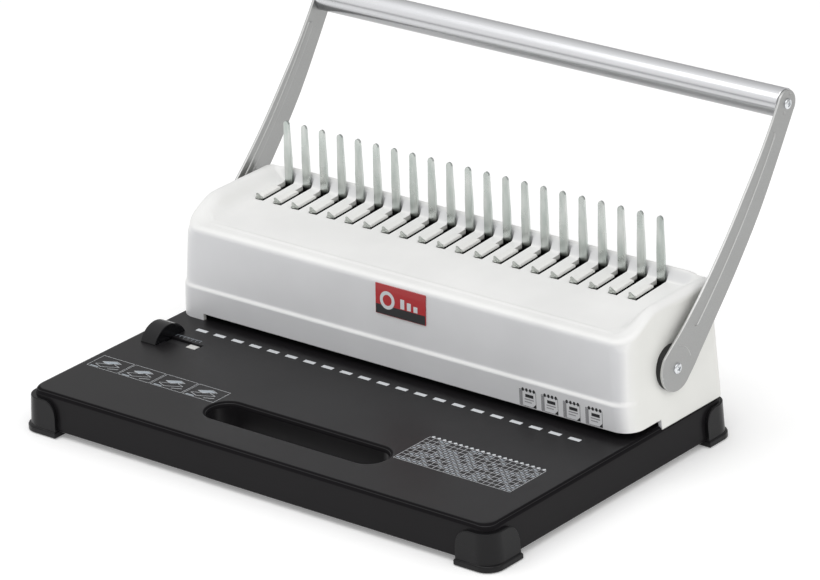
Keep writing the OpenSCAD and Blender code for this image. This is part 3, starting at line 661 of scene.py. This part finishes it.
def base_outline(z, inset=0.0, r=9.0):
    """Plan outline at height z; the walls flare out towards the foot."""
    flare = BASE_FLARE * (BASE_TOP - z) / (BASE_TOP - BASE_FOOT)
    return [(x, y, z) for x, y in plan(BASE_HALF + flare - inset, BASE_FRONT - flare + inset,
                                       BASE_REAR - inset, r, r, nf=20, ns=20, nb=20, nc=14)]


def oblong(length, width, z, n=20):
    """Round-ended outline about the grip's centre."""
    a, r = (length - width) / 2, width / 2
    pts = arc(GRIP_X + a, GRIP_Y, r, -90, 90, n) + arc(GRIP_X - a, GRIP_Y, r, 90, 270, n)
    return [(x, y, z) for x, y in pts]


def build_base():
    shoulder = BASE_TOP - RIM_R
    rings = [base_outline(4.0, 0.5), base_outline(4.5)]
    rings += [base_outline(z) for z in (10, 16, 22, shoulder)]
    for t in quarter(8)[1:]:
        inset = RIM_R * (1 - math.cos(t))
        rings.append([(x, y, shoulder + RIM_R * math.sin(t)) for x, y, _ in base_outline(shoulder, inset)])
    rings.append([(x, y, BASE_TOP) for x, y, _ in base_outline(shoulder, 5.0, 6)])
    o = loft("base_shell", rings)

    cavity = boxes("cavity", [((-172.2, -140.4, -5), (172.2, 68.4, 24.5))])
    cut(cavity, loft("grip_wall", [oblong(GRIP_LEN + 4, GRIP_WIDTH + 4, z) for z in (-9, 40)]))
    cut(o, cavity)

    grip = [oblong(GRIP_LEN, GRIP_WIDTH, -9)]
    for t in quarter(8):
        wider = GRIP_EDGE * (1 - math.cos(t))
        grip.append(oblong(GRIP_LEN + wider, GRIP_WIDTH + wider, 23.8 + 3.2 * math.sin(t)))
    grip.append(oblong(GRIP_LEN + GRIP_EDGE, GRIP_WIDTH + GRIP_EDGE, 40))
    cut(o, loft("grip_cut", grip))

    throat = ((-154.1, -7.6, 20), (154.1, 13.6, 40))
    guide_slot = ((-170, -50.4, 20), (-127, -43, 40))
    tray_mouth = ((-140.5, 60, 5.65), (140.5, 90, 22.6))
    cover_seats = [((-178, 13.1, 24.9), (-170.9, 90, 40)), ((170.9, 13.1, 24.9), (178, 90, 40))]
    cut(o, boxes("openings", [throat, guide_slot, tray_mouth] + cover_seats))
    return finish_piece(o, "base", M_BASE, ["base_tray"], angle=35)


build_base()


# ---------------------------------------------------------------- handle
ARM_WIDTHS = ((0.0, 14.0), (0.03, 13.8), (0.06, 13.4), (0.1, 12.6), (0.16, 11.9), (0.25, 11.2),
              (0.46, 10.5), (0.64, 10.0), (0.82, 8.6), (0.92, 8.2), (1.0, 8.2))
ARM_LEN = math.hypot(BAR[0] - PIVOT[0], BAR[1] - PIVOT[1])
ARM_DIR = (BAR[0] - PIVOT[0]) / ARM_LEN, (BAR[1] - PIVOT[1]) / ARM_LEN
ARM_LEAN = math.degrees(math.atan2(ARM_DIR[1], ARM_DIR[0]))
ARM_BOW = 26.4
RIB_OFFSET, RIB_HALF, RIB_START, RIB_LEN = -4.0, 2.7, 0.175, 0.7
SHEET_EDGE_R = 0.45


def build_bar():
    r, end = 8.9, 175.15
    shoulder = end - 0.35
    prof = [(-end, r - 1.5), (-end, r - 0.4)]
    prof += [(-shoulder + 2 * shoulder * i / 24, r) for i in range(25)]
    prof += [(end, r - 0.4), (end, r - 1.5), (-end, r - 1.5)]
    o = lathe_x("grip_tube", *BAR, prof, 96)
    return finish_piece(o, "handle", M_BAR, ["handle_bar"], angle=40)


def screw_head(side, cy, cz, r, h, turn):
    """Domed cross-head screw; turn is the angle of its cross."""
    x0 = ARM_OUT - 0.05
    prof = [(x0 - 10, 0), (x0 - 10, r * 0.55), (x0, r * 0.55), (x0, r * 0.98), (x0 + h * 0.35, r)]
    prof += [(x0 + h * (0.35 + 0.65 * math.sin(t)), r * math.cos(t)) for t in (0.3, 0.6, 0.85, 1.1, 1.3)]
    prof += [(x0 + h, 0)]
    o = lathe_x("head", 0, 0, prof, 48)
    for a in (0, 90):
        tool = boxes("tool", [((x0 + h - 1.1, -r * 0.52, -0.45), (x0 + h + 1, r * 0.52, 0.45))])
        tool.data.transform(Matrix.Rotation(math.radians(a + turn), 4, "X"))
        cut(o, tool)
    if side < 0:
        mirror_x(o)
    o.data.transform(Matrix.Translation((0, cy * MM, cz * MM)))
    return o


def build_screws():
    heads = []
    for side in (-1, 1):
        heads.append(screw_head(side, *PIVOT, 3.3, 1.6, 20))
        heads.append(screw_head(side, *BAR, 3.2, 1.6, 65))
    o = join(heads, "handle_screw_heads")
    return finish_piece(o, "handle", M_SCREW, ["handle_screws"], angle=30)


def arm_at(t, off):
    """Point at share t of the arm's bowed centre line, moved sideways by off."""
    dy, dz = ARM_DIR
    bow = ARM_BOW * t * (1 - t) + off
    return PIVOT[0] + dy * ARM_LEN * t + dz * bow, PIVOT[1] + dz * ARM_LEN * t - dy * bow


def arm_half(t):
    for (t0, h0), (t1, h1) in zip(ARM_WIDTHS, ARM_WIDTHS[1:]):
        if t <= t1:
            return h0 + (h1 - h0) * (t - t0) / (t1 - t0)
    return ARM_WIDTHS[-1][1]


def arm_outline():
    low = arc(*PIVOT, PIVOT_R, ARM_LEAN + 90, ARM_LEAN + 270, 60)
    high = arc(*BAR, BAR_END_R, ARM_LEAN - 90, ARM_LEAN + 90, 30)
    steps = [i / 60 for i in range(2, 60)]
    up = [arm_at(t, arm_half(t)) for t in steps]
    down = [arm_at(t, -arm_half(t)) for t in reversed(steps)]
    return low + up + high + down


def inward(points, d):
    """Outline moved inwards by d."""
    out = []
    n = len(points)
    for i in range(n):
        (x0, y0), (x1, y1) = points[i - 1], points[(i + 1) % n]
        k = math.hypot(x1 - x0, y1 - y0)
        out.append((points[i][0] - (y1 - y0) / k * d, points[i][1] + (x1 - x0) / k * d))
    return out


def groove(x_face, depth):
    """Solid for the pressed rib: rounded ends, sloping walls, from x_face - depth outwards."""
    end = 0.015
    section = ((-1, 1.2), (-1, 0), (-0.8, -0.75), (-0.5, -1), (0.5, -1), (0.8, -0.75), (1, 0), (1, 1.2))
    ends = [math.pi / 12 * i for i in range(7)]
    stations = [(RIB_START - end * math.cos(a), math.sin(a)) for a in ends]
    stations += [(RIB_START + RIB_LEN * i / 46, 1.0) for i in range(1, 46)]
    stations += [(RIB_START + RIB_LEN + end * math.sin(a), math.cos(a)) for a in ends]
    rings = []
    for t, k in stations:
        half = RIB_HALF * max(k, 0.06)
        ring = []
        for u, v in section:
            y, z = arm_at(t, RIB_OFFSET + u * half)
            ring.append((x_face + (v * depth if v < 0 else v), y, z))
        rings.append(ring)
    return loft("groove", rings)


def sheet(path):
    """Arm blank with rounded edges."""
    inner, outer = [], []
    for t in quarter(4):
        side = SHEET_EDGE_R * (1 - math.sin(t))
        edge = inward(path, SHEET_EDGE_R * (1 - math.cos(t)))
        inner.insert(0, [(ARM_IN + side, y, z) for y, z in edge])
        outer.append([(ARM_OUT - side, y, z) for y, z in edge])
    return loft("arm", inner + outer)


def pivot_crease():
    """Shallow line pressed round the pivot."""
    r, half, depth = 13.2, 0.5, 0.22
    rings = []
    for y, z in arc(*PIVOT, r, ARM_LEAN - 34, ARM_LEAN + 44, 24):
        dy, dz = half * (y - PIVOT[0]) / r, half * (z - PIVOT[1]) / r
        above = ARM_OUT + 0.3
        rings.append([(above, y + dy, z + dz), (ARM_OUT - depth, y, z), (above, y - dy, z - dz)])
    return loft("crease", rings)


def dimple(y, z, depth, r, outer_r, n):
    """Cutter for a small dent in the arm's outer face."""
    prof = [(-depth, 0), (-0.8 * depth, r / 2), (0.2, r), (1, outer_r), (1, 0)]
    return lathe_x("dimple", y, z, [(ARM_OUT + x, w) for x, w in prof], n)


def build_arm(side):
    o = sheet(arm_outline())
    cut(o, groove(ARM_OUT, 0.75))
    ridge = groove(0, 0.62)
    ridge.data.transform(Matrix.Translation(((ARM_IN + 0.02) * MM, 0, 0)))
    cut(o, ridge, "UNION")
    cut(o, pivot_crease())
    dimples = [dimple(*arm_at(1 + s / 167, 0), 0.3, 1.2, 1.3, 16) for s in (-5.6, 5.6)]
    dimples.append(dimple(*arm_at(-0.06, -7), 0.25, 0.8, 0.8, 12))
    cut(o, join(dimples, "dimples"))
    if side < 0:
        mirror_x(o)
    name = "arm_left" if side < 0 else "arm_right"
    o.name = name + "_sheet"
    return finish_piece(o, "handle", M_ARM, [name], angle=34)


def build_collar(side, name):
    prof = ((168.5, 3.2), (168.5, 13.4), (174.4, 13.4), (174.8, 13.1), (175.0, 12.6), (175.0, 3.2),
            (168.5, 3.2))
    o = lathe_x(name + "_ring", *PIVOT, [(side * x, r) for x, r in prof], 72)
    return finish_piece(o, "base", M_COLLAR, [name], angle=35)


build_bar()
build_screws()
build_arm(-1)
build_arm(1)
build_collar(-1, "collar_left")
build_collar(1, "collar_right")


# ---------------------------------------------------------------- hooks and slide blocks
def chamfered(x0, x1, pts, c):
    """Prism along x with chamfered ends."""
    cy = sum(p[0] for p in pts) / len(pts)
    cz = sum(p[1] for p in pts) / len(pts)
    rings = []
    for x, d in ((x0, c), (x0 + c, 0), (x1 - c, 0), (x1, c)):
        ring = []
        for y, z in pts:
            k = 1 - d / max(0.01, math.hypot(y - cy, z - cz))
            ring.append((x, cy + (y - cy) * k, cz + (z - cz) * k))
        rings.append(ring)
    return loft("prism", rings)


BLOCK_FRONT, BLOCK_REAR = 40.9, 57.2
HOOK_FORM = ((-2.2, -9.4), (2.4, -9.4), (2.4, 0.5), (1.5, 1.3), (0.2, 2.0), (-1.2, 2.9), (-2.0, 3.2),
             (-2.2, 2.9))
SPUR_FORM = ((0, 0.25), (1.0, 0.25), (1.3, 0.6), (1.1, 0.95), (0, 1.15))
TAB_FORM = ((-2.2, -12.6), (-1.2, -12.6), (-1.2, -0.1), (-1.4, 0.2), (-2.0, 0.2), (-2.2, -0.1))
STRIP_Z0, STRIP_Z1 = 76.0, 77.1


def block_cap(x):
    """White cap of a slide block, with a rounded rear end."""
    y0, y1 = BLOCK_FRONT, BLOCK_REAR
    z0, z1 = top_plane(y0), top_plane(y1)
    side = [(y0, z0 + 0.2), (y1, z1 + 0.2), (y1, z1 + 1.2), (y1 - 0.3, z1 + 1.6), (y1 - 1.0, z1 + 2.0),
            (y0 + 0.4, z0 + 2.0), (y0, z0 + 1.7)]
    return chamfered(x - 2.3, x + 2.7, side, 0.35)


def hook_parts(x):
    """Hook plate, its spur and boss, and the tab behind the block."""
    z0, z1 = top_plane(BLOCK_FRONT), top_plane(BLOCK_REAR)
    turns = [k * math.pi / 5 for k in range(10)]
    round_form = [(0.75 + 0.8 * math.cos(a), 0.6 + 0.8 * math.sin(a)) for a in turns]
    return [
        loft("hook", [[(x + u, y, z0 + v) for u, v in HOOK_FORM] for y in (39.8, 40.85)]),
        loft("spur", [[(x + u, 39.85 - w, z0 + v) for w, v in SPUR_FORM] for u in (-2.1, 0.9)]),
        loft("boss", [[(x + u, y, z0 + v) for u, v in round_form] for y in (39.45, 40.2)]),
        loft("tab", [[(x + u, y, z1 + v) for u, v in TAB_FORM] for y in (57.4, 58.0)])]


def build_opener():
    stem_top = top_plane(BLOCK_FRONT) + 0.25
    caps = [block_cap(x) for x in FINGERS]
    stems = [((x - 1.9, BLOCK_FRONT + 0.6, STRIP_Z0), (x + 1.6, BLOCK_REAR - 0.6, stem_top)) for x in FINGERS]
    hooks = [part for x in FINGERS for part in hook_parts(x)]
    hooks.append(boxes("strip", [((FINGERS[0] - 4, 38.2, STRIP_Z0), (FINGERS[-1] + 4, 58.2, STRIP_Z1))]))
    blocks = join(caps, "slide_block_caps")
    finish_piece(blocks, "carriage", M_BLOCK, ["hook_blocks"], angle=30)
    # The stems carry painted shade, not the blocks' own white.
    finish_piece(boxes("slide_block_stems", stems), "carriage", M_STEM_SHADE, angle=30)
    plates = join(hooks, "hook_plates")
    finish_piece(plates, "carriage", M_HOOK, ["hooks"], angle=30)


build_opener()


# ---------------------------------------------------------------- corner feet
FOOT_LEG, REAR_LEG_CUT = 23.6, 3.5
FOOT_TOP, FOOT_ROUND, FOOT_WALL = 22.5, 9.5, 2.7
FLANGE_FRONT, FLANGE_REAR, FLANGE_LEG, FLANGE_R = 3.4, 3.2, 27.5, 10.5
FLANGE_RIM = ((0.35, 0.5), (0.7, 0.0), (3.2, 0.0), (3.8, 0.2), (4.2, 0.6), (4.4, 1.1))
FOOT_X = BASE_HALF + BASE_FLARE


def foot_y(sy):
    """Distance of the base's front or rear face at its foot, and the leg's length along the side."""
    if sy < 0:
        return BASE_FLARE - BASE_FRONT, FOOT_LEG
    return BASE_REAR, FOOT_LEG - REAR_LEG_CUT


def placed(sx, sy, x, y):
    return sx * x, (-y if sy < 0 else y)


def foot_path(sx, sy, grow, r):
    """Plan points from the end on the front or rear face round the corner to the end on the side face."""
    wy, leg = foot_y(sy)
    cx, cy = FOOT_X + grow - r, wy + grow - r
    start = FOOT_X - FOOT_LEG
    pts = [(start + (cx - start) * i / 24, wy + grow) for i in range(24)]
    pts += [(cx + r * math.sin(a), cy + r * math.cos(a)) for a in quarter(12)]
    pts += [(FOOT_X + grow, cy - (cy - wy + leg) * i / 24) for i in range(1, 25)]
    return [placed(sx, sy, x, y) for x, y in pts]


def foot_tops(path, sy):
    """Height of the wall along its path; it falls in a quarter round at both ends."""
    wy, leg = foot_y(sy)
    tops = []
    for i, (x, y) in enumerate(path):
        d = abs(x) - (FOOT_X - FOOT_LEG) if i < len(path) // 2 else abs(y) - (wy - leg)
        fall = max(0.0, FOOT_ROUND - d)
        tops.append(FOOT_TOP - FOOT_ROUND + math.sqrt(max(0.0, FOOT_ROUND ** 2 - fall ** 2)))
    return tops


def build_foot(name, sx, sy):
    outer = foot_path(sx, sy, FOOT_WALL, 11.8)
    inner = foot_path(sx, sy, -1.2, 8.0)
    lean, edge = 1.55, 0.6
    rings = []
    for (x, y), (xi, yi), top in zip(outer, inner, foot_tops(outer, sy)):
        m = math.hypot(x - xi, y - yi)
        nx, ny = (x - xi) / m, (y - yi) / m
        k = min(1.0, (top - 0.3) / (FOOT_TOP - 0.3))
        lean_x, lean_y = nx * lean * k, (ny * lean * k if sy < 0 else 0.0)
        ring = [(xi, yi, 0.4), (x, y, 0.4)]
        for t in quarter(4):
            back = edge * (1 - math.cos(t))
            ring.append((x - lean_x - nx * back, y - lean_y - ny * back, top - edge + edge * math.sin(t)))
        ring.append((xi - lean_x, yi - lean_y, top))
        rings.append(ring)
    parts = join([loft("foot_wall", rings), loft("foot_flange", foot_flange(sx, sy))], name + "_cap")
    return finish_piece(parts, "base", M_FOOT, [name], angle=38)


def foot_flange(sx, sy):
    """Low flange round the corner, with a rolled upper edge."""
    wy = foot_y(sy)[0]
    out_y, leg_y = (FLANGE_FRONT, FLANGE_LEG) if sy < 0 else (FLANGE_REAR, FLANGE_LEG - REAR_LEG_CUT)
    rings = []
    for z, g in FLANGE_RIM:
        x1, y1 = FOOT_X + FLANGE_FRONT - g, wy + out_y - g
        x0, y0 = FOOT_X + FLANGE_FRONT - FLANGE_LEG + g, wy + out_y - leg_y + g
        pts = [(x0, y0), (x1, y0)] + arc(x1 - FLANGE_R, y1 - FLANGE_R, FLANGE_R, 0, 90, 12) + [(x0, y1)]
        rings.append([(*placed(sx, sy, x, y), z) for x, y in pts])
    return rings


for foot_name, foot_sx, foot_sy in (("foot_front_left", -1, -1), ("foot_front_right", 1, -1),
                                    ("foot_rear_left", -1, 1), ("foot_rear_right", 1, 1)):
    build_foot(foot_name, foot_sx, foot_sy)


# ---------------------------------------------------------------- printed marks
def print_piece(name, polys, mat, place):
    """polys are outlines in a plane; place maps (u, v) to a point in mm."""
    verts, faces = [], []
    for poly in polys:
        b = len(verts)
        verts += [place(u, v) for u, v in poly]
        faces.append(tuple(range(b, b + len(poly))))
    o = mesh_object(name, verts, faces)
    o.data.materials.append(mat)
    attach(o, "base")
    return o


def rect(u0, v0, u1, v1):
    return [(u0, v0), (u1, v0), (u1, v1), (u0, v1)]


def line(p, q, w=0.35):
    """Thin stroke of width w from p to q."""
    d = Vector((q[0] - p[0], q[1] - p[1])).normalized() * (w / 2)
    return [(p[0] - d.y, p[1] + d.x), (p[0] + d.y, p[1] - d.x), (q[0] + d.y, q[1] - d.x),
            (q[0] - d.y, q[1] + d.x)]


def loop(points, w=0.35):
    return [line(points[i], points[(i + 1) % len(points)], w) for i in range(len(points))]


def on_table(u, v):
    return (u, v, BASE_TOP + 0.03)


def on_band(lift):
    """Place on the cover's lower band, lift in front of it."""
    return lambda u, v: (u, COVER_FRONT - lift, v)


def on_badge(lift):
    """Place on the leaning badge, lift in front of the face that carries it."""
    face, foot_z = COVER_FRONT + STEP_IN, 49.8
    return lambda u, v: (u, face + LEAN * (v - foot_z) - lift, v)


def mark_punches():
    dashes = [rect(x - 4.15, -28.3, x + 4.15, -25.3) for x in MARKS]
    print_piece("punch_marks", dashes, M_PRINT, on_table)


def mark_size_table():
    x0, x1, y0, y1 = 71.0, 155.8, -101.6, -69.2
    rows, cols = 9, 21
    cell_x, cell_y = (x1 - x0) / cols, (y1 - y0) / rows
    grid = [line((x0, y0 + cell_y * i), (x1, y0 + cell_y * i), 0.28) for i in range(rows + 1)]
    grid += [line((x0 + cell_x * i, y0), (x0 + cell_x * i, y1), 0.28) for i in range(cols + 1)]
    for i in range(cols):
        x = x0 + cell_x * (i + 0.5)
        grid.append([(x - 1.4, y1 + 1.0), (x, y1 - 0.2), (x + 1.4, y1 + 1.0), (x, y1 + 2.2)])
    rng = random.Random(4)
    cells = []
    for i in range(rows):
        for j in range(cols):
            if rng.random() < 0.55:
                cx, cy = x0 + cell_x * (j + 0.5), y0 + cell_y * (i + 0.5)
                cells.append(rect(cx - 1.1, cy - 0.7, cx + 1.1, cy + 0.6))
    print_piece("size_table", grid, M_PRINT, on_table)
    print_piece("size_table_cells", cells, M_PRINT_GREY, on_table)


def mark_guide_strip():
    """Four framed pictograms of stacked sheets."""
    strip, fill = [], []
    for i in range(4):
        x = -168.0 + i * 25.6
        strip += loop(rect(x, -101.4, x + 24.4, -86.0), 0.25)
        strip += loop([(x + 3, -97), (x + 14, -92.5), (x + 20, -94.5), (x + 9, -99.3)], 0.3)
        strip += loop([(x + 5, -93), (x + 13, -88.8), (x + 18, -90.4), (x + 10, -94.6)], 0.3)
        strip.append(line((x + 15, -99.5), (x + 21.5, -97), 0.4))
        fill.append([(x + 5.6, -93), (x + 13, -89.3), (x + 16.8, -90.5), (x + 9.6, -94.2)])
        fill.append(rect(x + 2, -100.8, x + 8, -99.8))
    print_piece("guide_strip", strip, M_PRINT, on_table)
    print_piece("guide_strip_fill", fill, M_PRINT_GREY, on_table)


def mark_ticks():
    ticks = [line((-158 + i * 3.2, -41.2), (-158 + i * 3.2, -38.8), 0.3) for i in range(9)]
    ticks.append(line((-158.4, -38.8), (-132, -38.8), 0.3))
    print_piece("guide_ticks", ticks, M_PRINT_GREY, on_table)


def mark_notes():
    """Four small pictures of a bound pad with a folded corner."""
    ink, mid = [], []
    turns = [k * math.pi / 6 for k in range(12)]
    for i in range(4):
        x, z = 93.2 + i * 16.1, 31.9
        ink += loop([(x, z), (x + 12, z), (x + 12, z + 10), (x, z + 10)], 0.28)
        mid.append(rect(x + 0.3, z + 0.3, x + 2.2, z + 9.6))
        for j in range(4):
            cx = x + 2.6 + j * 2.7
            ink.append([(cx + 0.95 * math.cos(a), z + 10.2 + 1.15 * math.sin(a)) for a in turns])
        ink.append([(x + 12, z), (x + 12, z + 2.6), (x + 9.4, z)])
        ink.append(rect(x + 4.2, z + 5.6, x + 10.2, z + 7.6))
        mid.append(rect(x + 3.6, z + 4.0, x + 10.4, z + 4.7))
        mid.append(rect(x + 3.6, z + 2.4, x + 8.8, z + 3.0))
    print_piece("note_icons", ink, M_INK, on_band(0.03))
    print_piece("note_icons_fill", mid, M_INK_GREY, on_band(0.01))


def ring_part(cx, cy, start):
    """One of the short pieces that make up a ring."""
    corners = ((5.6, 0), (5.6, 12), (3.4, 12), (3.4, 0))
    turns = [(r, math.radians(start + d)) for r, d in corners]
    return [(cx + r * math.cos(a), cy + r * math.sin(a)) for r, a in turns]


def mark_badge():
    """Made-up sign of a ring and three bars over a dark foot."""
    print_piece("badge_dark", [rect(-14.8, 63.9, 22.8, 69.6)], M_INK, on_badge(0.66))
    ring = [ring_part(-6, 73, a) for a in range(0, 360, 12)]
    bars = [rect(4 + i * 5, 70.0, 7 + i * 5, 76 - i * 1.2) for i in range(3)]
    print_piece("badge_mark", ring + bars, M_PRINT, on_badge(0.68))


mark_punches()
mark_size_table()
mark_guide_strip()
mark_ticks()
mark_notes()
mark_badge()


# ---------------------------------------------------------------- floor and light
def build_stage():
    """Pale floor under a soft sky that is brightest overhead and dimmer behind."""
    reach = 6000
    corners = [(-reach, -reach, 0), (reach, -reach, 0), (reach, reach, 0), (-reach, reach, 0)]
    floor = mesh_object("floor", corners, [(0, 1, 2, 3)])
    m, _, b = material("floor_pale", (0.92, 0.92, 0.92), 0.7)
    b.inputs["Emission Color"].default_value = (1, 1, 1, 1)
    b.inputs["Emission Strength"].default_value = 0.19
    floor.data.materials.append(m)
    world = bpy.data.worlds.new("studio")
    scene.world = world
    world.use_nodes = True
    nt = world.node_tree
    bg = nt.nodes["Background"]
    axes = split(nt, "ShaderNodeTexCoord", "Generated")
    height = ramp(nt, axes["Z"], [(0.0, grey(0.5)), (0.1, grey(0.72)), (0.3, grey(1.0)), (0.8, grey(1.0)),
                                  (1.0, grey(0.9))])
    front_to_back = remap(nt, axes["Y"], -0.7, 0.7)
    depth = ramp(nt, front_to_back, [(0.0, grey(0.9)), (0.5, grey(0.95)), (1.0, grey(0.55))])
    nt.links.new(multiply(nt, height, depth), bg.inputs["Color"])
    bg.inputs["Strength"].default_value = 0.95


def area(name, loc, target, size, power, colour=(1, 1, 1)):
    """Soft box at loc, in metres, turned towards target."""
    light = bpy.data.lights.new(name, "AREA")
    light.shape = "RECTANGLE"
    light.size, light.size_y = size
    light.energy = power
    light.color = colour
    o = new_object(name, light)
    o.location = loc
    o.rotation_euler = (Vector(target) - Vector(loc)).to_track_quat("-Z", "Y").to_euler()


build_stage()
area("top_box", (0.0, -0.75, 1.85), (0, -0.1, 0), (2.4, 1.1), 12)
area("right_box", (1.9, 0.3, 1.3), (0, 0, 0.05), (1.0, 1.0), 4, (1, 0.985, 0.96))

scene.view_settings.view_transform = "Standard"
scene.view_settings.look = "None"
